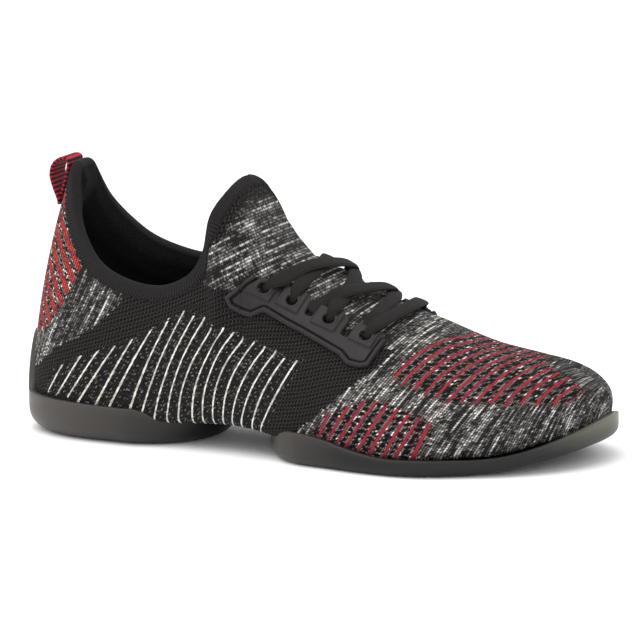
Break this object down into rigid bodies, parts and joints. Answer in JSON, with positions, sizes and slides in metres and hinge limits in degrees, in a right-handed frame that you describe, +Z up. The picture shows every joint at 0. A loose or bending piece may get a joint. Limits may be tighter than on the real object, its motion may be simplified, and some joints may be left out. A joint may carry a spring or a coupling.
{
  "type": "dance sneaker",
  "caption": "Low knitted dance sneaker for the right foot: sock-like upper with a laced instep, a heel loop and a split rubber sole that leaves the arch free",
  "frame": {"origin": "on the floor under the middle of the shoe's bounding box", "axes": "+X from the heel to the toe, +Y to the inner side of the foot, +Z up"},
  "size_m": [0.2544, 0.0976, 0.1148],
  "materials": {
    "knit": "knitted polyester yarn, matt",
    "rubber": "moulded rubber, satin",
    "foam": "foam footbed with a woven top, matt",
    "moulding": "moulded soft plastic, satin",
    "lace": "braided flat lace, matt",
    "webbing": "ribbed webbing, matt"
  },
  "bodies": {
    "root": {"upper": "knit", "heel_sole": "rubber", "forefoot_sole": "rubber", "insole": "foam", "eyestay_outer": "moulding", "eyestay_inner": "moulding", "laces": "lace", "pull_loop": "webbing"}
  },
  "joints": []
}
